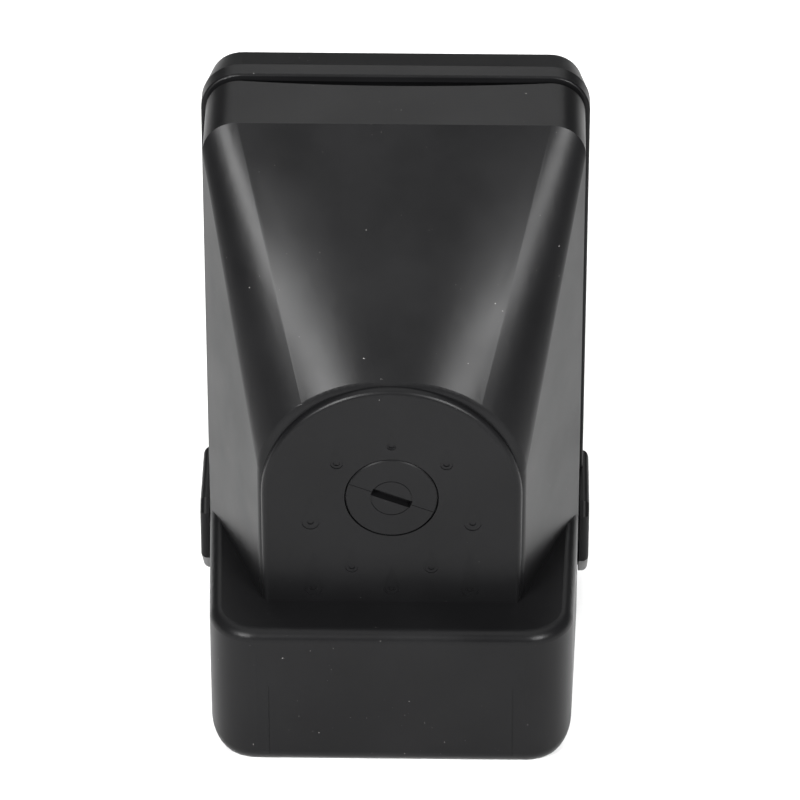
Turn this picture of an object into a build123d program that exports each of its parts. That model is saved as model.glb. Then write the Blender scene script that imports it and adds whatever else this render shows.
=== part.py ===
from build123d import *
import math
import os

# Bait station: a back tray (the base) that stands on its bottom edge, and a hood-shaped
# front cover that swings forward about a pin along the bottom front edge.
# Millimetres. +X is right, +Z is up, and the front faces -Y. The origin is the centre of
# the bottom of the bounding box. "Depth" below always means the distance forward from the
# flat back face.

# ---------------------------------------------------------------- driving dimensions
HEIGHT = 210.9            # floor to the top of the base
BASE_WIDTH = 130.0
TOTAL_DEPTH = 121.0       # back face to the front of the foot
WALL = 2.4                # moulded wall

# base tray
BACK_WALL = 2.6
TAPER_DEPTH = 11.9        # the base narrows from here back to the back face
TAPER_INSET = 2.6
BAND_FRONT = 18.4         # front edge of the base's side walls
BASE_CORNER_R = 13.5
LIP_FRONT = 27.5          # the cover closes round this inner lip
LIP_START_Z = 56.0
LIP_GAP = 0.6
FLOOR_HALF_WIDTH = 49.5
FLOOR_FRONT = 96.7
TONGUE_HALF_WIDTH = 40.6
TONGUE_FRONT = 108.0

# front cover
COVER_WIDTH = 126.5
COVER_HEIGHT = 210.4
RIM_CORNER_R = 11.5       # top corners of the rim
RIM_BACK = 21.5
RIM_FRONT = 47.5
RIM_BOW = 2.5             # how far the top rear edge bows forward at its middle
SHOULDER_FRONT = 100.0    # the faceted shoulders end here
SHOULDER_HALF_WIDTH = 43.8
SHOULDER_FLAT = 5.0      # half width of the top facet at its narrow end
SHOULDER_FLAT_REAR = 20.0  # half width of the top facet at the rim
SHOULDER_SPLIT = 51.0     # angle on the front arcs where the corner strip meets the top
HOOD_BOTTOM = 43.5        # the shoulders and boss run down into the foot to here
BOSS_FRONT = 102.6        # flat face of the arch-topped lock boss
BOSS_HALF_WIDTH = 43.4
LEDGE_Z = 55.5
FOOT_FRONT_WIDTH = 121.0
FOOT_CORNER_R = 11.0      # bottom corners of the foot and the rim
FOOT_PLAN_R = 16.0
LEDGE_EDGE_R = 4.0
SHOULDER_EDGE_R = 4.0
BOSS_EDGE_R = 2.2
NOTCH_HALF_WIDTH = 41.0
NOTCH_HEIGHT = 1.0
WITNESS_TOP = 33.0        # fine upright lines on the foot end at this height

# hinge, concentric with the rounded bottom front edge
HINGE_HEIGHT = 5.5
HINGE_DEPTH = TOTAL_DEPTH - HINGE_HEIGHT
KNUCKLE_R = 2.6
PIN_R = 1.25
PIN_HALF_LENGTH = 40.2

# entries
ENTRY_DEPTHS = (13.0, 37.0)
ENTRY_HEIGHTS = (27.0, 45.0)
ENTRY_LIP_NEAR = 63.9     # inner and outer faces of the lips, from the middle plane
ENTRY_LIP_REACH = 67.2
ENTRY_LIP_ROUND = 2.2

# lock
LOCK_Z = 98.6
DISC_R = 15.3
DISC_FACE = BOSS_FRONT + 0.15
DISC_BACK = 97.6
SEAT_BACK = 95.4
STEM_R = 6.0
SPINDLE_R = 3.8
SPINDLE_SQUARE = 5.2
KEY_TILT = -21.6          # the key slot's slope at rest, down to the right
CAM_BACK = 79.2
CAM_FRONT = 81.8
CAM_HALF_LENGTH = 12.0
STRIKE_BACK = 84.0
STRIKE_FRONT = 85.5
POST_HEAD_BACK = 74.0
POST_HEAD_HALF = 17.0

KEY_SLOT = (14.0, 2.8)
KEY_SLOT_DEPTH = 3.2
KEY_RING_R = 6.9
CLIP_DEPTHS = (93.4, 94.4)

# drop-shaped dimples on the boss: height above the lock, places across, length, radius
DROP_DEPTH = 0.3
DROP_PIT_R = 1.1
DROP_PIT_DEPTH = 0.7
DROP_ROWS = (
    (21.0, (0.0,), 6.0, 1.6),
    (13.7, (-18.2, 18.2), 6.2, 2.1),
    (-10.4, (-27.0, 27.0), 10.3, 2.9),
    (-28.8, (-13.3, 13.3), 7.2, 2.2),
    (-37.6, (0.0,), 9.0, 2.4),
    (-37.8, (-26.2, 26.2), 15.0, 2.9),
)

# bait
RACK_FRONT = 7.6
SHELF_Z = 60.0
ARM_Z = 148.0
ROD_X = 24.0
ROD_DEPTH = 38.0
ROD_R = 1.6
ROD_TIP = 1.5             # the rods' ends stand this far below the shelf
BLOCK_SIDE = 28.0
BLOCK_HEIGHT = 27.6
BLOCK_GAP = 0.3
BAFFLE_X = 42.2
BAFFLE_THICK = 2.0
TRAY_HALF_WIDTH = 38.5
TRAY_DEPTHS = (22.0, 100.0)
TRAY_HEIGHTS = (2.8, 16.0)

SCREW_R = 1.45
SCREW_HOLE_R = 1.5
WALL_HOLE_R = 2.5
WALL_HOLE_X = 52.0
WALL_HOLE_ZS = (24.0, 184.0)


# ---------------------------------------------------------------- helpers
def y_of(depth):
    """Row Y of a place that many millimetres in front of the back face."""
    return TOTAL_DEPTH / 2 - depth


def facing(depth, x=0.0, z=0.0):
    """A plane that looks forward: its x is +X, its y is +Z, and extruding moves forward."""
    return Plane(origin=(x, y_of(depth), z), x_dir=(1, 0, 0), z_dir=(0, -1, 0))


def block(xs, depths, zs):
    """A box between two values of x, depth and z."""
    size = (xs[1] - xs[0], depths[1] - depths[0], zs[1] - zs[0])
    centre = (sum(xs) / 2, y_of(sum(depths) / 2), sum(zs) / 2)
    return Pos(*centre) * Box(*size)


def along_depth(radius, depths, x, z):
    """A round bar that runs from one depth to another."""
    return extrude(facing(depths[0], x, z) * Circle(radius), depths[1] - depths[0])


def along_x(radius, xs, depth, z):
    """A round bar that runs across the object."""
    centre = (sum(xs) / 2, y_of(depth), z)
    return Pos(*centre) * Rot(0, 90, 0) * Cylinder(radius, xs[1] - xs[0])


def upright(radius, zs, x, depth):
    """A round bar that runs upwards."""
    return Pos(x, y_of(depth), sum(zs) / 2) * Cylinder(radius, zs[1] - zs[0])


def front_panel(width, height, corner_r, depths, bottom=0.0):
    """A rounded rectangle, seen from the front, between two depths."""
    outline = RectangleRounded(width, height, corner_r)
    return extrude(facing(depths[0], 0, bottom + height / 2) * outline, depths[1] - depths[0])


def wood_screw(x, z, head_depths, tip_depth, head_r=2.9):
    """A pan-head screw that lies along the depth, with a cross recess in its head."""
    outer_face, inner_face = head_depths
    inward = 1 if tip_depth > inner_face else -1
    head = along_depth(head_r, sorted(head_depths), x, z)
    shank = along_depth(SCREW_R, sorted((inner_face, tip_depth)), x, z)
    recess_depths = sorted((outer_face, outer_face + inward * 0.9))
    recess = along_depth(0.5, recess_depths, x, z)
    for half_x, half_z in ((1.7, 0.4), (0.4, 1.7)):
        recess += block((x - half_x, x + half_x), recess_depths, (z - half_z, z + half_z))
    return head + shank - recess


# ---------------------------------------------------------------- base
def entry_lip(side):
    """The raised frame round one entry, outside the cover's side wall."""
    near, far = ENTRY_LIP_NEAR, ENTRY_LIP_REACH
    corners = [(8.0, 12.0), (8.0, 51.0), (38.0, 51.0), (42.0, 47.0), (42.0, 28.0), (26.0, 12.0)]
    outline = make_face(Polyline(*corners, close=True))
    plane = Plane(origin=(near, y_of(0), 0), x_dir=(0, -1, 0), z_dir=(-1, 0, 0))
    frame = extrude(plane * outline, near - far)
    frame = fillet(frame.faces().sort_by(Axis.X)[-1].edges(), ENTRY_LIP_ROUND)
    frame += block((BASE_WIDTH / 2 - WALL, near + 0.5), (8.0, BAND_FRONT), (20.0, 49.0))
    frame -= block((BASE_WIDTH / 2 - 5, far + 1), ENTRY_DEPTHS, ENTRY_HEIGHTS)
    return frame if side > 0 else mirror(frame, about=Plane.YZ)


def base_shell():
    """Back wall, tapered edge and side band of the base, hollow from the front."""
    back = facing(0, 0, HEIGHT / 2) * RectangleRounded(
        BASE_WIDTH - 2 * TAPER_INSET, HEIGHT - 2 * TAPER_INSET, BASE_CORNER_R - TAPER_INSET
    )
    widest = facing(TAPER_DEPTH, 0, HEIGHT / 2) * RectangleRounded(BASE_WIDTH, HEIGHT, BASE_CORNER_R)
    shell = loft([back, widest], ruled=True)
    shell += front_panel(BASE_WIDTH, HEIGHT, BASE_CORNER_R, (TAPER_DEPTH, BAND_FRONT))
    shell = fillet(shell.faces().sort_by(Axis.Y)[0].edges(), 0.8)
    deep_inset = TAPER_INSET + WALL
    shell -= front_panel(
        BASE_WIDTH - 2 * deep_inset, HEIGHT - 2 * deep_inset, 9.0, (BACK_WALL, BAND_FRONT + 1), deep_inset
    )
    pocket_depths = (TAPER_DEPTH, BAND_FRONT + 1)
    shell -= front_panel(
        BASE_WIDTH - 2 * WALL, HEIGHT - 2 * WALL, BASE_CORNER_R - WALL, pocket_depths, WALL
    )
    return shell


def base_lip():
    """The inner lip that the cover closes over, along the top and the upper sides."""
    half_width = COVER_WIDTH / 2 - WALL - LIP_GAP
    top = COVER_HEIGHT - WALL - LIP_GAP
    corner_r = RIM_CORNER_R - WALL - LIP_GAP
    lip = front_panel(2 * half_width, top, corner_r, (TAPER_DEPTH - 1, LIP_FRONT))
    web_depths = (BAND_FRONT - 4, BAND_FRONT - 2)
    web = front_panel(BASE_WIDTH - 2 * WALL, HEIGHT - 2 * WALL, BASE_CORNER_R - WALL, web_depths, WALL)
    lip = (lip + web) & block((-70, 70), (0, 40), (LIP_START_Z, HEIGHT))
    return lip - front_panel(2 * (half_width - 2), top - 2, corner_r - 2, (0, LIP_FRONT + 1))


def base_floor():
    """Floor plate and tongue under the foot, with the three hinge knuckles of the base."""
    floor = block((-FLOOR_HALF_WIDTH, FLOOR_HALF_WIDTH), (BAND_FRONT - 2, FLOOR_FRONT), (0, WALL))
    floor += block((-TONGUE_HALF_WIDTH, TONGUE_HALF_WIDTH), (FLOOR_FRONT, TONGUE_FRONT), (0, WALL))
    knuckle_top = HINGE_HEIGHT + KNUCKLE_R
    for xs in ((-TONGUE_HALF_WIDTH, -30.0), (-6.0, 6.0), (30.0, TONGUE_HALF_WIDTH)):
        floor += block(xs, (TONGUE_FRONT - 3.5, TONGUE_FRONT), (0, knuckle_top))
        floor += block(xs, (TONGUE_FRONT, HINGE_DEPTH), (HINGE_HEIGHT - KNUCKLE_R - 0.2, knuckle_top))
        floor += along_x(KNUCKLE_R, xs, HINGE_DEPTH, HINGE_HEIGHT)
    bore_end = TONGUE_HALF_WIDTH + 1
    floor -= along_x(PIN_R + 0.02, (-bore_end, bore_end), HINGE_DEPTH, HINGE_HEIGHT)
    baffle_far = BAFFLE_X + BAFFLE_THICK
    for side in (-1, 1):
        for near, far in ((BAFFLE_X - 1.9, BAFFLE_X - 0.2), (baffle_far + 0.2, baffle_far + 1.8)):
            xs = sorted((side * near, side * far))
            floor += block(xs, (BAND_FRONT, 68.0), (0, 6.0))
    return floor


POST_SCREW_ZS = (LOCK_Z - 9, LOCK_Z + 9)
RACK_SCREWS = [(x, z) for x in (-30.0, 30.0) for z in (72.0, 140.0)]


def screw_pad(x, z):
    """A raised pad inside the back wall, with room for a screw head behind it."""
    return along_depth(5.5, (BACK_WALL - 0.5, 5.0), x, z)


def screw_pad_cut(x, z):
    """The counterbore and clearance hole for a screw driven from behind."""
    return along_depth(3.4, (-1, 2.6), x, z) + along_depth(SCREW_HOLE_R + 0.1, (-1, 6), x, z)


def base_tray():
    base = base_shell() + base_lip() + base_floor()
    base += entry_lip(1) + entry_lip(-1)
    base -= block((-70, 70), ENTRY_DEPTHS, ENTRY_HEIGHTS) & (
        block((-70, -55), (0, 60), (0, 70)) + block((55, 70), (0, 60), (0, 70))
    )
    screws = [(0.0, z) for z in POST_SCREW_ZS] + RACK_SCREWS
    for x, z in screws:
        base += screw_pad(x, z)
    for x, z in screws:
        base -= screw_pad_cut(x, z)
    for x in (-WALL_HOLE_X, WALL_HOLE_X):
        for z in WALL_HOLE_ZS:
            base -= along_depth(WALL_HOLE_R, (-1, BACK_WALL + 1), x, z)
    return base


# ---------------------------------------------------------------- cover
def rear_outline(inset):
    """Edges of the hood where it leaves the rim, from bottom right round to bottom left."""
    half = COVER_WIDTH / 2 - inset
    top = COVER_HEIGHT - inset
    corner_r = RIM_CORNER_R - inset
    x_round = half - corner_r
    spring = top - corner_r
    return [
        Line((half, HOOD_BOTTOM), (half, spring)),
        CenterArc((x_round, spring), corner_r, 0, 90),
        Line((x_round, top), (SHOULDER_FLAT_REAR, top)),
        Line((SHOULDER_FLAT_REAR, top), (-SHOULDER_FLAT_REAR, top)),
        Line((-SHOULDER_FLAT_REAR, top), (-x_round, top)),
        CenterArc((-x_round, spring), corner_r, 90, 90),
        Line((-half, spring), (-half, HOOD_BOTTOM)),
        Line((-half, HOOD_BOTTOM), (half, HOOD_BOTTOM)),
    ]


def front_outline(inset):
    """Edges of the hood at the boss, one for each edge of the rear outline."""
    half = SHOULDER_HALF_WIDTH - inset
    top = LOCK_Z + BOSS_HALF_WIDTH - inset
    flat = SHOULDER_FLAT
    radius = half - flat
    spring = top - radius
    low = SHOULDER_SPLIT
    high = 90 - SHOULDER_SPLIT
    return [
        Line((half, HOOD_BOTTOM), (half, spring)),
        CenterArc((flat, spring), radius, 0, low),
        CenterArc((flat, spring), radius, low, high),
        Line((flat, top), (-flat, top)),
        CenterArc((-flat, spring), radius, 90, high),
        CenterArc((-flat, spring), radius, 90 + high, low),
        Line((-half, spring), (-half, HOOD_BOTTOM)),
        Line((-half, HOOD_BOTTOM), (half, HOOD_BOTTOM)),
    ]


def foot_outline(half_width, top, bottom, corner_r):
    """The foot's cross-section from the front: round bottom corners, flat top."""
    x_round = half_width - corner_r
    z_round = bottom + corner_r
    outline = [
        Line((-x_round, bottom), (x_round, bottom)),
        CenterArc((x_round, z_round), corner_r, -90, 90),
        Line((half_width, z_round), (half_width, top)),
        Line((half_width, top), (-half_width, top)),
        Line((-half_width, top), (-half_width, z_round)),
        CenterArc((-x_round, z_round), corner_r, 180, 90),
    ]
    return make_face(outline)


def foot_plan(half_back, half_front, depths, corner_r):
    """The foot's outline from above, with round front corners, as an upright prism."""
    back_y, front_y = y_of(depths[0]), y_of(depths[1])
    corners = [(-half_back, back_y), (-half_front, front_y), (half_front, front_y), (half_back, back_y)]
    outline = make_face(Polyline(*corners, close=True))
    front_corners = [v for v in outline.vertices() if abs(v.Y - front_y) < 0.01]
    return extrude(fillet(front_corners, corner_r), LEDGE_Z)


def foot_block(inset):
    """The deep block at the bottom of the cover, slightly narrower at its front."""
    half_back = COVER_WIDTH / 2 - inset
    half_front = FOOT_FRONT_WIDTH / 2 - inset
    depths = (RIM_FRONT, TOTAL_DEPTH - inset)
    corner_r = FOOT_CORNER_R - inset
    sections = [
        facing(depth) * foot_outline(half_width, LEDGE_Z - inset, inset, corner_r)
        for depth, half_width in zip(depths, (half_back, half_front))
    ]
    plan = foot_plan(half_back, half_front, depths, FOOT_PLAN_R - inset)
    return loft(sections, ruled=True) & plan


def rounded_foot():
    """The outside of the foot, with its bottom and ledge edges rounded."""
    foot = foot_block(0)
    corner_start = y_of(TOTAL_DEPTH - FOOT_PLAN_R - 0.2)
    bottom = [e for e in foot.edges() if e.center().Z < FOOT_CORNER_R and e.center().Y < corner_start]
    foot = fillet(bottom, HINGE_HEIGHT)
    top = [e for e in foot.edges() if abs(e.center().Z - LEDGE_Z) < 0.1]
    return fillet([e for e in top if e.center().Y < y_of(RIM_FRONT + 1)], LEDGE_EDGE_R)


def shoulders(inset):
    """The faceted part of the hood: each edge at the rim is ruled to its edge at the boss."""
    rear = [(facing(RIM_FRONT) * line).edge() for line in rear_outline(inset)]
    front = [(facing(SHOULDER_FRONT - inset) * line).edge() for line in front_outline(inset)]
    facets = [Face.make_surface_from_curves(*pair) for pair in zip(rear, front)]
    return Solid(Shell([*facets, Face(Wire(rear)), Face(Wire(front))]))


def lock_boss(inset):
    """The arch-topped boss that carries the lock, down into the foot."""
    half_width = BOSS_HALF_WIDTH - inset
    drop = LOCK_Z - HOOD_BOTTOM
    face = Circle(half_width) + Pos(0, -drop / 2) * Rectangle(2 * half_width, drop)
    return extrude(facing(RIM_FRONT, 0, LOCK_Z) * face, BOSS_FRONT - inset - RIM_FRONT)


def rim(inset):
    """The rim's rounded rectangle, down to the floor."""
    half = COVER_WIDTH / 2 - inset
    bottom, top = inset, COVER_HEIGHT - inset
    outline = make_face(
        Polyline((-half, bottom), (half, bottom), (half, top), (-half, top), close=True)
    )
    outline = fillet(outline.vertices().sort_by(Axis.Y)[:2], FOOT_CORNER_R - inset)
    outline = fillet(outline.vertices().sort_by(Axis.Y)[-2:], RIM_CORNER_R - inset)
    return extrude(facing(RIM_BACK) * outline, RIM_FRONT - RIM_BACK)


def drop_outline(radius, length):
    """A drop with its point up, its round end centred on the origin."""
    touch = math.asin(radius / length)
    side = (radius * math.cos(touch), radius * math.sin(touch))
    other = (-side[0], side[1])
    return make_face(
        [
            Line((0, length), other),
            ThreePointArc(other, (0, -radius), side),
            Line(side, (0, length)),
        ]
    )


def drops():
    """Shallow drop-shaped dimples on the boss, each with a small pit at its round end."""
    cut = None
    pit_depths = (BOSS_FRONT - DROP_PIT_DEPTH, BOSS_FRONT + DROP_DEPTH)
    for rise, offsets, length, radius in DROP_ROWS:
        for x in offsets:
            z = LOCK_Z + rise
            outline = facing(BOSS_FRONT - DROP_DEPTH, x, z) * drop_outline(radius, length)
            drop = extrude(outline, 2 * DROP_DEPTH) + along_depth(DROP_PIT_R, pit_depths, x, z)
            cut = drop if cut is None else cut + drop
    return cut


def front_edges(shape, depth):
    """The edges that lie at that depth, above the ledge."""
    return [e for e in shape.edges() if abs(e.center().Y - y_of(depth)) < 0.01 and e.center().Z > LEDGE_Z]


def cover_outside():
    hood = shoulders(0)
    hood = fillet(front_edges(hood, SHOULDER_FRONT), SHOULDER_EDGE_R)
    body = rim(0) + hood + lock_boss(0)
    body = fillet(front_edges(body, BOSS_FRONT), BOSS_EDGE_R)
    return body + rounded_foot()


def cover_knuckles():
    """Two knuckles on the cover, joined to the foot's front wall."""
    knuckles = None
    wall_face = TOTAL_DEPTH - WALL
    for side in (-1, 1):
        xs = sorted((side * 18.0, side * 29.5))
        knuckle = along_x(KNUCKLE_R, xs, HINGE_DEPTH, HINGE_HEIGHT)
        knuckle += block(xs, (HINGE_DEPTH, wall_face + 0.5), (HINGE_HEIGHT - 1.2, HINGE_HEIGHT + KNUCKLE_R))
        knuckles = knuckle if knuckles is None else knuckles + knuckle
    return knuckles


def rear_edge_bow():
    """What is cut from the rim's top so that its rear edge bows forward in the middle."""
    half_chord = COVER_WIDTH / 2 - RIM_CORNER_R
    bow_r = (half_chord**2 + RIM_BOW**2) / (2 * RIM_BOW)
    bow = Pos(0, y_of(RIM_BACK + RIM_BOW - bow_r), COVER_HEIGHT) * Cylinder(bow_r, 4 * WALL)
    edge_depths = (RIM_BACK - 1, RIM_BACK + RIM_BOW + 1)
    top_edge = block((-half_chord, half_chord), edge_depths, (HEIGHT - 15, HEIGHT))
    return bow & top_edge


def front_cover():
    cover = cover_outside()
    for inner in (rim(WALL), shoulders(WALL), lock_boss(WALL), foot_block(WALL)):
        cover -= inner
    # open bottom for the base's floor plate and tongue
    floor_half = FLOOR_HALF_WIDTH + 0.5
    floor_end = FLOOR_FRONT + 0.5
    cover -= block((-floor_half, floor_half), (RIM_BACK - 1, floor_end), (-1, WALL))
    notch_xs = (-NOTCH_HALF_WIDTH, NOTCH_HALF_WIDTH)
    cover -= block(notch_xs, (FLOOR_FRONT, TOTAL_DEPTH - WALL), (-1, WALL))
    cover -= block(notch_xs, (FLOOR_FRONT, TOTAL_DEPTH), (-1, NOTCH_HEIGHT))
    for x in notch_xs:
        cover -= block((x - 0.15, x + 0.15), (TOTAL_DEPTH - 0.2, TOTAL_DEPTH + 1), (-1, WITNESS_TOP))
    # entries, open to the rear edge
    entry_depths = (RIM_BACK - 1, ENTRY_DEPTHS[1] + 0.8)
    entry_heights = (ENTRY_HEIGHTS[0] - 1, ENTRY_HEIGHTS[1] + 1)
    cover -= block((-70, 70), entry_depths, entry_heights)
    cover -= rear_edge_bow()
    # lock seat
    cover += along_depth(DISC_R + 2.7, (SEAT_BACK, BOSS_FRONT - WALL + 0.2), 0, LOCK_Z)
    cover -= along_depth(DISC_R + 0.4, (SEAT_BACK + 2, BOSS_FRONT + 1), 0, LOCK_Z)
    cover -= along_depth(STEM_R + 0.15, (SEAT_BACK - 1, BOSS_FRONT), 0, LOCK_Z)
    cover -= drops()
    cover += cover_knuckles()
    cover -= along_x(PIN_R + 0.06, notch_xs, HINGE_DEPTH, HINGE_HEIGHT)
    return cover


# ---------------------------------------------------------------- lock
def lock_disc():
    """The round lock face, its stem and the square spindle that drives the cam."""
    disc = along_depth(DISC_R, (DISC_BACK, DISC_FACE), 0, LOCK_Z)
    disc = chamfer(disc.faces().sort_by(Axis.Y)[0].edges(), 0.35)
    disc += along_depth(STEM_R, (CLIP_DEPTHS[0] - 1.5, DISC_BACK), 0, LOCK_Z)
    groove_floor = along_depth(STEM_R - 0.8, CLIP_DEPTHS, 0, LOCK_Z)
    disc -= along_depth(STEM_R + 1, CLIP_DEPTHS, 0, LOCK_Z) - groove_floor
    disc += along_depth(SPINDLE_R, (CAM_FRONT, CLIP_DEPTHS[0]), 0, LOCK_Z)
    half = SPINDLE_SQUARE / 2
    disc += block((-half, half), (CAM_BACK, CAM_FRONT), (LOCK_Z - half, LOCK_Z + half))
    disc -= along_depth(SCREW_HOLE_R, (CAM_BACK - 1, CAM_FRONT + 6), 0, LOCK_Z)
    face = facing(DISC_FACE, 0, LOCK_Z) * Rot(0, 0, KEY_TILT)
    disc -= extrude(face * Rectangle(*KEY_SLOT), -KEY_SLOT_DEPTH)
    disc -= extrude(face * Rectangle(2 * DISC_R, 0.25), -0.2)
    disc -= extrude(face * (Circle(KEY_RING_R) - Circle(KEY_RING_R - 0.3)), -0.25)
    return disc


def lock_washer():
    """A flat ring under the clip, pressed lightly against the seat."""
    depths = (CLIP_DEPTHS[1] + 0.1, SEAT_BACK - 0.1)
    return along_depth(9.5, depths, 0, LOCK_Z) - along_depth(STEM_R + 0.15, depths, 0, LOCK_Z)


def lock_clip():
    """An open retaining ring in the stem's groove."""
    depths = (CLIP_DEPTHS[0] + 0.1, CLIP_DEPTHS[1] - 0.1)
    ring = along_depth(8.6, depths, 0, LOCK_Z) - along_depth(STEM_R - 0.75, depths, 0, LOCK_Z)
    return ring - block((-2.5, 2.5), depths, (LOCK_Z - 10, LOCK_Z))


def lock_cam():
    """The bar that turns behind the strike plate, on the spindle's square."""
    depths = (CAM_BACK, CAM_FRONT)
    outline = facing(CAM_BACK, 0, LOCK_Z) * SlotOverall(2 * CAM_HALF_LENGTH, 7.0)
    bar = extrude(outline, CAM_FRONT - CAM_BACK)
    half = SPINDLE_SQUARE / 2 + 0.05
    return bar - block((-half, half), depths, (LOCK_Z - half, LOCK_Z + half))


def lock_screw():
    return wood_screw(0, LOCK_Z, (CAM_BACK - 2.0, CAM_BACK - 0.02), CAM_FRONT + 4, 4.2)


# ---------------------------------------------------------------- tower and strike
def strike_screw_places():
    offset = POST_HEAD_HALF - 3.2
    return [(x, LOCK_Z + z) for x in (-offset, offset) for z in (-offset, offset)]


def lock_post():
    """A ribbed arm from the back wall to a square head, hollow for the cam to turn in."""
    head = extrude(
        facing(POST_HEAD_BACK, 0, LOCK_Z) * RectangleRounded(2 * POST_HEAD_HALF, 2 * POST_HEAD_HALF, 3.0),
        STRIKE_BACK - POST_HEAD_BACK,
    )
    head -= along_depth(14.0, (POST_HEAD_BACK + 2, STRIKE_BACK + 1), 0, LOCK_Z)
    arm_depths = (5.0, POST_HEAD_BACK)
    arm = block((-5.5, 5.5), arm_depths, (LOCK_Z - 1.5, LOCK_Z + 1.5))
    for x in (-5.5, 3.5):
        arm += block((x, x + 2.0), arm_depths, (LOCK_Z - 13, LOCK_Z + 13))
    arm += block((-7.5, 7.5), (5.0, 9.0), (LOCK_Z - 14, LOCK_Z + 14))
    for z in POST_SCREW_ZS:
        arm += along_depth(3.5, (5.0, 18.0), 0, z)
    for z in POST_SCREW_ZS:
        arm -= along_depth(SCREW_HOLE_R, (4.0, 16.5), 0, z)
    post = head + arm
    for x, z in strike_screw_places():
        post -= along_depth(1.25, (POST_HEAD_BACK + 1.5, STRIKE_BACK + 1), x, z)
    return post


def strike_plate():
    """Steel plate with a slot that passes the cam at rest and traps it when turned."""
    plate = extrude(
        facing(STRIKE_BACK, 0, LOCK_Z) * RectangleRounded(2 * POST_HEAD_HALF, 2 * POST_HEAD_HALF, 3.0),
        STRIKE_FRONT - STRIKE_BACK,
    )
    depths = (STRIKE_BACK - 1, STRIKE_FRONT + 1)
    plate -= block((-13, 13), depths, (LOCK_Z - 4.6, LOCK_Z + 7.2))
    for x, z in strike_screw_places():
        plate -= along_depth(1.35, depths, x, z)
    return plate


def strike_screws():
    screws = []
    for x, z in strike_screw_places():
        head = along_depth(2.2, (STRIKE_FRONT, STRIKE_FRONT + 1.4), x, z)
        head -= block((x - 1.4, x + 1.4), (STRIKE_FRONT + 0.8, STRIKE_FRONT + 2), (z - 0.3, z + 0.3))
        screws.append(head + along_depth(1.2, (POST_HEAD_BACK + 2.5, STRIKE_FRONT), x, z))
    return screws


def post_screws():
    return [wood_screw(0, z, (0.4, 2.6), 15.0) for z in POST_SCREW_ZS]


# ---------------------------------------------------------------- bait
def bait_rack():
    """Back strip with a shelf for the blocks and two arms that guide the rods."""
    rack = block((-39, 39), (5.0, RACK_FRONT), (SHELF_Z, 156.0))
    rack -= block((-8.5, 8.5), (0, 20), (LOCK_Z - 16, LOCK_Z + 16))
    for side in (-1, 1):
        shelf_xs = sorted((side * 9.0, side * 39.0))
        rack += block(shelf_xs, (5.0, ROD_DEPTH + 15), (SHELF_Z, SHELF_Z + 2.4))
        rack += block(shelf_xs, (ROD_DEPTH + 13, ROD_DEPTH + 15), (SHELF_Z, SHELF_Z + 6))
        arm_xs = sorted((side * (ROD_X - 7), side * (ROD_X + 7)))
        arm = block(arm_xs, (5.0, ROD_DEPTH), (ARM_Z, ARM_Z + 2.4))
        arm += upright(7.0, (ARM_Z, ARM_Z + 2.4), side * ROD_X, ROD_DEPTH)
        rack += arm
        rack -= upright(ROD_R + 0.25, (SHELF_Z - 1, 160), side * ROD_X, ROD_DEPTH)
    for x, z in RACK_SCREWS:
        rack += along_depth(3.4, (5.0, 10.0), x, z)
    for x, z in RACK_SCREWS:
        rack -= along_depth(SCREW_HOLE_R, (4.0, 11.0), x, z)
    return rack


def rack_screws():
    return [wood_screw(x, z, (0.4, 2.6), 9.6) for x, z in RACK_SCREWS]


def bait_rod(side):
    """A steel rod with a collar that sits on the arm and an eye to lift it by."""
    x = side * ROD_X
    rod = upright(ROD_R, (SHELF_Z - ROD_TIP, ARM_Z + 13), x, ROD_DEPTH)
    rod += upright(3.6, (ARM_Z + 2.5, ARM_Z + 4.0), x, ROD_DEPTH)
    eye = Pos(x, y_of(ROD_DEPTH), ARM_Z + 18.5) * Rot(90, 0, 0) * Torus(6.0, ROD_R)
    return rod + eye


def bait_block(side, level):
    """A pressed block with shallow grooves in its front and rear faces, and a rod hole."""
    bottom = SHELF_Z + 2.4 + BLOCK_GAP + level * (BLOCK_HEIGHT + BLOCK_GAP)
    x = side * ROD_X
    half = BLOCK_SIDE / 2
    top = bottom + BLOCK_HEIGHT
    depths = (ROD_DEPTH - half + 1, ROD_DEPTH + half - 1)
    body = block((x - half, x + half), depths, (bottom, top))
    body = fillet(body.edges().filter_by(Axis.Z), 3.0)
    for groove in (-1, 0, 1):
        for depth in depths:
            body -= upright(1.6, (bottom - 1, top + 1), x + groove * BLOCK_SIDE / 4, depth)
    return body - upright(ROD_R + 0.6, (bottom - 1, top + 1), x, ROD_DEPTH)


def baffle(side):
    """An upright wall between one entry and the middle, with a return at its front."""
    near, far = BAFFLE_X, BAFFLE_X + BAFFLE_THICK
    wall = block((near, far), (TAPER_DEPTH + 0.3, 72.0), (WALL + 0.2, SHELF_Z - 2))
    wall += block((near, far + 4.6), (70.0, 72.0), (WALL + 0.2, SHELF_Z - 2))
    return wall if side > 0 else mirror(wall, about=Plane.YZ)


def bait_tray():
    """A low tray with round corners and a middle rib."""
    length = TRAY_DEPTHS[1] - TRAY_DEPTHS[0]
    middle_y = y_of(sum(TRAY_DEPTHS) / 2)
    outline = Pos(0, middle_y, TRAY_HEIGHTS[0]) * RectangleRounded(2 * TRAY_HALF_WIDTH, length, 6.0)
    inner = Pos(0, middle_y, TRAY_HEIGHTS[0] + 1.6) * RectangleRounded(
        2 * TRAY_HALF_WIDTH - 3.2, length - 3.2, 4.4
    )
    tray = extrude(outline, TRAY_HEIGHTS[1] - TRAY_HEIGHTS[0]) - extrude(inner, TRAY_HEIGHTS[1])
    rib_depths = (TRAY_DEPTHS[0] + 1, TRAY_DEPTHS[1] - 1)
    return tray + block((-0.8, 0.8), rib_depths, (TRAY_HEIGHTS[0] + 1, TRAY_HEIGHTS[1] - 5))


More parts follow.
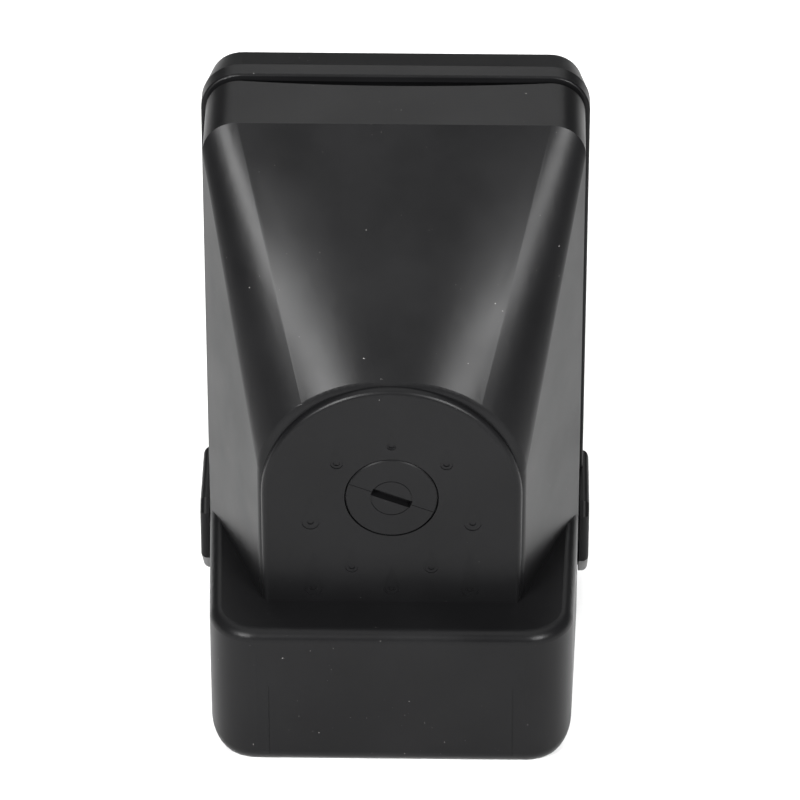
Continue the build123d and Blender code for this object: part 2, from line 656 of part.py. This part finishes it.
def hinge_pin():
    pin = along_x(PIN_R, (-PIN_HALF_LENGTH, PIN_HALF_LENGTH), HINGE_DEPTH, HINGE_HEIGHT)
    return chamfer(pin.edges(), 0.3)


# ---------------------------------------------------------------- every sub-part by name
def all_parts():
    parts = {
        "base_tray": base_tray(),
        "front_cover": front_cover(),
        "hinge_pin": hinge_pin(),
        "lock_disc": lock_disc(),
        "lock_washer": lock_washer(),
        "lock_clip": lock_clip(),
        "lock_cam": lock_cam(),
        "lock_screw": lock_screw(),
        "lock_post": lock_post(),
        "post_screws": Compound(post_screws()),
        "strike_plate": strike_plate(),
        "strike_screws": Compound(strike_screws()),
        "bait_rack": bait_rack(),
        "rack_screws": Compound(rack_screws()),
        "bait_tray": bait_tray(),
    }
    for name, side in (("left", -1), ("right", 1)):
        parts[f"baffle_{name}"] = baffle(side)
        parts[f"bait_rod_{name}"] = bait_rod(side)
    number = 1
    for side in (-1, 1):
        for level in range(3):
            parts[f"bait_block_{number}"] = bait_block(side, level)
            number += 1
    return parts


os.makedirs("parts", exist_ok=True)
for node, shape in all_parts().items():
    export_step(shape, f"parts/{node}.step")
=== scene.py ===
import math

import bpy
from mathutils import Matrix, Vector

# The looks of the bait station: plastic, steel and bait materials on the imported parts,
# a pale floor, soft studio light and the camera. Metres, in the row's own frame.

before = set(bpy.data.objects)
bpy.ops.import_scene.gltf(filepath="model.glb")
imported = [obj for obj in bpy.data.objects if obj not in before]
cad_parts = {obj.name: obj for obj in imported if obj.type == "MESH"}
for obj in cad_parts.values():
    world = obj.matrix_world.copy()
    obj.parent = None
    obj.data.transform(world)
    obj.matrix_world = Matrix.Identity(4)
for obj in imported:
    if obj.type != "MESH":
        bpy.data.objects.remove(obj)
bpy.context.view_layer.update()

# ---------------------------------------------------------------- driving values
CAMERA_AZIMUTH = 0.9             # degrees, to the right of straight ahead
CAMERA_ELEVATION = 35.2
CAMERA_DISTANCE = 2.02
CAMERA_LENS = 270.0
AIM = Vector((0.00215, 0.0006, 0.1083))
FLOOR_SIZE = 6.0
FLOOR_COLOR = (0.76, 0.76, 0.76)
FLOOR_TOOTH_SCALE = 400.0
FLOOR_TOOTH_LIGHTENING = 1.03

ROOM_FRONT_BACK = (0.1, 3.2)     # radiance of the room in front of and behind the object
ROOM_DEPTH_RAMP = (-0.8, 0.6)    # Y of the direction where the first blends into the second
ROOM_LEFT = 0.5                  # radiance added at the far left, and at the far right
ROOM_RIGHT = 0.2
ROOM_LEFT_RAMP = (-0.95, -0.45)  # X of the direction where that fades out
ROOM_RIGHT_RAMP = (0.45, 0.95)
TOP_POWER = 26.0                 # watts
LEFT_POWER = 31.0
RIGHT_POWER = 26.0
BACK_POWER = 7.0
BOX_AZIMUTH = 34.0               # degrees either side of straight ahead
BOX_ELEVATION = 28.0
BOX_DISTANCE = 1.2
BOX_SIZE = (0.32, 0.42)
TOP_PLACE = (0, 0.1, 1.6)
TOP_AIM = (0, 0, 0.1)
TOP_SIZE = (1.8, 1.8)
BACK_PLACE = (0, 1.4, 1.1)
BACK_SIZE = (1.6, 0.5)
AIM_OF_LIGHTS = (0, 0, 0.14)     # of the low panel behind and of the boxes

BLACK = (0.003, 0.003, 0.0032)   # linear colour of the black moulded plastic
GRAIN_SCALE = 3200.0             # noise cells per metre in the moulded grain
GRAIN_STRENGTH = 0.22
GRAIN_DEPTH = 0.00006            # metres
FLOW_SCALE = 45.0                # slow waves left by the moulding
FLOW_STRENGTH = 0.06
FLOW_DEPTH = 0.0006
PATCH_SCALE = 28.0               # wide patches that are a little paler and duller
PATCH_LIGHTENING = 1.35
DUST_SCALE = 900.0
DUST_COLOR = (0.35, 0.34, 0.33)

STEEL_LINE_SCALE = 2500.0        # drawn lines in the plating
STEEL_LINE_DEPTH = 0.00005
STEEL_BLOTCH_SCALE = 90.0
STEEL_DULLING = 0.72

BAIT_COLOR = (0.03, 0.20, 0.24)
BAIT_DARK = (0.018, 0.13, 0.17)
BAIT_PALE = (0.05, 0.27, 0.30)
BAIT_CLOUD_SCALE = 160.0
FLAKE_COLOR = (0.50, 0.40, 0.20)
FLAKE_SCALE = 480.0
HUSK_COLOR = (0.05, 0.03, 0.015)
HUSK_SCALE = 620.0
PIT_SCALE = 500.0
PIT_DEPTH = 0.0004
DENT_SCALE = 110.0
DENT_DEPTH = 0.001


# ---------------------------------------------------------------- node helpers
def new_material(name, color, roughness, metallic=0.0, specular=0.5):
    """A Principled material with its uniform values set on the shader's own sockets."""
    material = bpy.data.materials.new(name)
    material.use_nodes = True
    tree = material.node_tree
    shader = tree.nodes["Principled BSDF"]
    shader.inputs["Base Color"].default_value = (*color, 1)
    shader.inputs["Roughness"].default_value = roughness
    shader.inputs["Metallic"].default_value = metallic
    shader.inputs["Specular IOR Level"].default_value = specular
    coordinates = tree.nodes.new("ShaderNodeTexCoord")
    return material, tree, shader, coordinates.outputs["Object"]


def noise(tree, place, scale, detail=3.0, stretch=None):
    """Noise with that many cells per metre; stretch scales the three axes first."""
    if stretch:
        mapping = tree.nodes.new("ShaderNodeMapping")
        mapping.inputs["Scale"].default_value = stretch
        tree.links.new(place, mapping.inputs["Vector"])
        place = mapping.outputs["Vector"]
    node = tree.nodes.new("ShaderNodeTexNoise")
    node.inputs["Scale"].default_value = scale
    node.inputs["Detail"].default_value = detail
    tree.links.new(place, node.inputs["Vector"])
    return node.outputs["Fac"]


def remap(tree, value, low, high, to_low, to_high):
    """The value between low and high, mapped onto another range and clamped."""
    node = tree.nodes.new("ShaderNodeMapRange")
    for name, number in (("From Min", low), ("From Max", high), ("To Min", to_low), ("To Max", to_high)):
        node.inputs[name].default_value = number
    tree.links.new(value, node.inputs["Value"])
    return node.outputs["Result"]


def mix_color(tree, factor, color_a, color_b):
    """Colour a where the factor is 0 and colour b where it is 1; either may be a socket."""
    node = tree.nodes.new("ShaderNodeMix")
    node.data_type = "RGBA"
    tree.links.new(factor, node.inputs["Factor"])
    sockets = [s for s in node.inputs if s.type == "RGBA"]
    for socket, color in zip(sockets, (color_a, color_b)):
        if isinstance(color, bpy.types.NodeSocket):
            tree.links.new(color, socket)
        else:
            socket.default_value = (*color, 1)
    return next(s for s in node.outputs if s.type == "RGBA")


def add_bump(tree, shader, height, strength, distance, under=None):
    """Relief on the shader's normal, over another bump's normal if one is given."""
    node = tree.nodes.new("ShaderNodeBump")
    node.inputs["Strength"].default_value = strength
    node.inputs["Distance"].default_value = distance
    tree.links.new(height, node.inputs["Height"])
    if under is not None:
        tree.links.new(under, node.inputs["Normal"])
    tree.links.new(node.outputs["Normal"], shader.inputs["Normal"])
    return node.outputs["Normal"]


# ---------------------------------------------------------------- materials
def moulded_plastic(name, color, roughness, specular, dust=0.0):
    """Satin injection-moulded plastic: fine spark-eroded grain, faint flow marks, dust."""
    material, tree, shader, place = new_material(name, color, roughness, specular=specular)
    grain_height = noise(tree, place, GRAIN_SCALE, detail=2.0)
    waves = noise(tree, place, FLOW_SCALE, detail=4.0)
    normal = add_bump(tree, shader, waves, FLOW_STRENGTH, FLOW_DEPTH)
    add_bump(tree, shader, grain_height, GRAIN_STRENGTH, GRAIN_DEPTH, under=normal)
    patches = noise(tree, place, PATCH_SCALE, detail=6.0)
    duller = remap(tree, patches, 0.3, 0.7, roughness - 0.03, roughness + 0.05)
    tree.links.new(duller, shader.inputs["Roughness"])
    lighter = tuple(c * PATCH_LIGHTENING for c in color)
    base = mix_color(tree, remap(tree, patches, 0.35, 0.75, 0.0, 1.0), color, lighter)
    if dust:
        specks = remap(tree, noise(tree, place, DUST_SCALE, detail=1.0), 0.80, 0.84, 0.0, dust)
        base = mix_color(tree, specks, base, DUST_COLOR)
    tree.links.new(base, shader.inputs["Base Color"])
    return material


def brushed_steel(name, color, roughness=0.3, along=(1, 1, 1)):
    """Zinc-plated steel with fine drawn lines; along squeezes the noise on each axis."""
    material, tree, shader, place = new_material(name, color, roughness, metallic=1.0)
    lines = noise(tree, place, STEEL_LINE_SCALE, detail=3.0, stretch=along)
    blotches = noise(tree, place, STEEL_BLOTCH_SCALE, detail=4.0)
    add_bump(tree, shader, lines, 0.25, STEEL_LINE_DEPTH)
    rougher = remap(tree, lines, 0.3, 0.7, roughness - 0.08, roughness + 0.1)
    tree.links.new(rougher, shader.inputs["Roughness"])
    duller = tuple(c * STEEL_DULLING for c in color)
    base = mix_color(tree, remap(tree, blotches, 0.4, 0.7, 0.0, 1.0), color, duller)
    tree.links.new(base, shader.inputs["Base Color"])
    return material


def pressed_bait(name):
    """Waxy block with crushed grain in it: pale flakes, dark husks and a pitted skin."""
    material, tree, shader, place = new_material(name, BAIT_COLOR, 0.55, specular=0.4)
    shader.inputs["Subsurface Weight"].default_value = 0.15
    shader.inputs["Subsurface Radius"].default_value = (0.001, 0.002, 0.002)
    clouds = noise(tree, place, BAIT_CLOUD_SCALE, detail=5.0)
    base = mix_color(tree, remap(tree, clouds, 0.3, 0.7, 0.0, 1.0), BAIT_DARK, BAIT_PALE)
    flakes = noise(tree, place, FLAKE_SCALE, detail=1.5, stretch=(1, 1, 0.6))
    base = mix_color(tree, remap(tree, flakes, 0.60, 0.66, 0.0, 0.85), base, FLAKE_COLOR)
    husks = noise(tree, place, HUSK_SCALE, detail=1.0, stretch=(0.7, 1, 1))
    base = mix_color(tree, remap(tree, husks, 0.66, 0.70, 0.0, 0.8), base, HUSK_COLOR)
    tree.links.new(base, shader.inputs["Base Color"])
    normal = add_bump(tree, shader, noise(tree, place, PIT_SCALE, detail=4.0), 0.6, PIT_DEPTH)
    dents = noise(tree, place, DENT_SCALE, detail=2.0)
    add_bump(tree, shader, dents, 0.3, DENT_DEPTH, under=normal)
    return material


def pale_floor(name):
    """Matte pale floor with a very faint tooth."""
    material, tree, shader, place = new_material(name, FLOOR_COLOR, 0.9, specular=0.0)
    tooth = noise(tree, place, FLOOR_TOOTH_SCALE, detail=2.0)
    lighter = tuple(c * FLOOR_TOOTH_LIGHTENING for c in FLOOR_COLOR)
    base = mix_color(tree, tooth, FLOOR_COLOR, lighter)
    tree.links.new(base, shader.inputs["Base Color"])
    return material


def finish_parts():
    """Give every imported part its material, steel unless another is listed."""
    black = moulded_plastic("black_satin_plastic", BLACK, roughness=0.33, specular=0.09, dust=0.4)
    lock = moulded_plastic("lock_satin_plastic", BLACK, roughness=0.35, specular=0.09, dust=0.3)
    grey = moulded_plastic("inner_grey_plastic", (0.055, 0.056, 0.058), roughness=0.48, specular=0.4)
    tray = moulded_plastic("tray_plastic", (0.028, 0.029, 0.031), roughness=0.35, specular=0.45)
    steel = brushed_steel("zinc_steel", (0.62, 0.62, 0.60))
    wire = brushed_steel("drawn_wire", (0.60, 0.60, 0.59), 0.25, along=(1, 1, 0.06))
    pin = brushed_steel("ground_pin", (0.66, 0.66, 0.66), 0.2, along=(0.05, 1, 1))
    spring = brushed_steel("dark_spring_steel", (0.20, 0.20, 0.21), 0.35)
    bait = pressed_bait("pressed_bait")
    finishes = {
        "base_tray": black,
        "front_cover": black,
        "lock_disc": lock,
        "lock_post": grey,
        "bait_rack": grey,
        "baffle_left": grey,
        "baffle_right": grey,
        "bait_tray": tray,
        "hinge_pin": pin,
        "bait_rod_left": wire,
        "bait_rod_right": wire,
        "lock_clip": spring,
        "lock_washer": spring,
    }
    for name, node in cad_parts.items():
        if name.startswith("bait_block"):
            material = bait
        else:
            material = finishes.get(name, steel)
        for index in range(len(node.material_slots)):
            node.material_slots[index].material = material
        if not node.material_slots:
            node.data.materials.append(material)


# ---------------------------------------------------------------- stage, light, camera
def make_floor():
    """The flat pale surface that the station stands on; it is stage, not part of the object."""
    half = FLOOR_SIZE / 2
    mesh = bpy.data.meshes.new("floor")
    corners = [(-half, -half, 0), (half, -half, 0), (half, half, 0), (-half, half, 0)]
    mesh.from_pydata(corners, [], [(0, 1, 2, 3)])
    mesh.materials.append(pale_floor("pale_floor"))
    floor = bpy.data.objects.new("floor", mesh)
    bpy.context.scene.collection.objects.link(floor)


def make_world():
    """A plain room: dim in front, bright behind, a little brighter at the far left and right."""
    world = bpy.data.worlds.new("soft_room")
    world.use_nodes = True
    tree = world.node_tree
    background = tree.nodes["Background"]
    direction = tree.nodes.new("ShaderNodeTexCoord").outputs["Generated"]
    split = tree.nodes.new("ShaderNodeSeparateXYZ")
    tree.links.new(direction, split.inputs["Vector"])
    level = remap(tree, split.outputs["Y"], *ROOM_DEPTH_RAMP, *ROOM_FRONT_BACK)
    walls = (
        remap(tree, split.outputs["X"], *ROOM_LEFT_RAMP, ROOM_LEFT, 0.0),
        remap(tree, split.outputs["X"], *ROOM_RIGHT_RAMP, 0.0, ROOM_RIGHT),
    )
    for wall in walls:
        total = tree.nodes.new("ShaderNodeMath")
        total.operation = "ADD"
        tree.links.new(level, total.inputs[0])
        tree.links.new(wall, total.inputs[1])
        level = total.outputs[0]
    tree.links.new(level, background.inputs["Strength"])
    bpy.context.scene.world = world


def soft_light(name, place, aim, size, power):
    """A rectangular area light that faces the aim."""
    light = bpy.data.lights.new(name, "AREA")
    light.shape = "RECTANGLE"
    light.size, light.size_y = size
    light.energy = power
    lamp = bpy.data.objects.new(name, light)
    lamp.location = place
    lamp.rotation_euler = (Vector(aim) - Vector(place)).to_track_quat("-Z", "Y").to_euler()
    bpy.context.scene.collection.objects.link(lamp)


def make_lights():
    """A wide panel overhead, a low one behind, and a soft box either side of the camera."""
    soft_light("top_soft", TOP_PLACE, TOP_AIM, TOP_SIZE, TOP_POWER)
    soft_light("back_soft", BACK_PLACE, AIM_OF_LIGHTS, BACK_SIZE, BACK_POWER)
    rise = math.radians(BOX_ELEVATION)
    reach = BOX_DISTANCE * math.cos(rise)
    height = BOX_DISTANCE * math.sin(rise) + AIM_OF_LIGHTS[2]
    boxes = (("left_box", -BOX_AZIMUTH, LEFT_POWER), ("right_box", BOX_AZIMUTH, RIGHT_POWER))
    for name, azimuth, power in boxes:
        turn = math.radians(azimuth)
        place = (reach * math.sin(turn), -reach * math.cos(turn), height)
        soft_light(name, place, AIM_OF_LIGHTS, BOX_SIZE, power)


def make_camera():
    """A long lens that looks down on the front of the station."""
    azimuth = math.radians(CAMERA_AZIMUTH)
    elevation = math.radians(CAMERA_ELEVATION)
    back = Vector(
        (
            math.sin(azimuth) * math.cos(elevation),
            -math.cos(azimuth) * math.cos(elevation),
            math.sin(elevation),
        )
    )
    data = bpy.data.cameras.new("camera")
    data.sensor_width = 36.0
    data.lens = CAMERA_LENS
    data.clip_end = 20.0
    camera = bpy.data.objects.new("camera", data)
    camera.location = AIM + back * CAMERA_DISTANCE
    camera.rotation_mode = "QUATERNION"
    camera.rotation_quaternion = (-back).to_track_quat("-Z", "Y")
    bpy.context.scene.collection.objects.link(camera)
    bpy.context.scene.camera = camera


make_camera()
finish_parts()
make_floor()
make_world()
make_lights()
bpy.context.scene.view_settings.view_transform = "Standard"

bpy.context.view_layer.update()
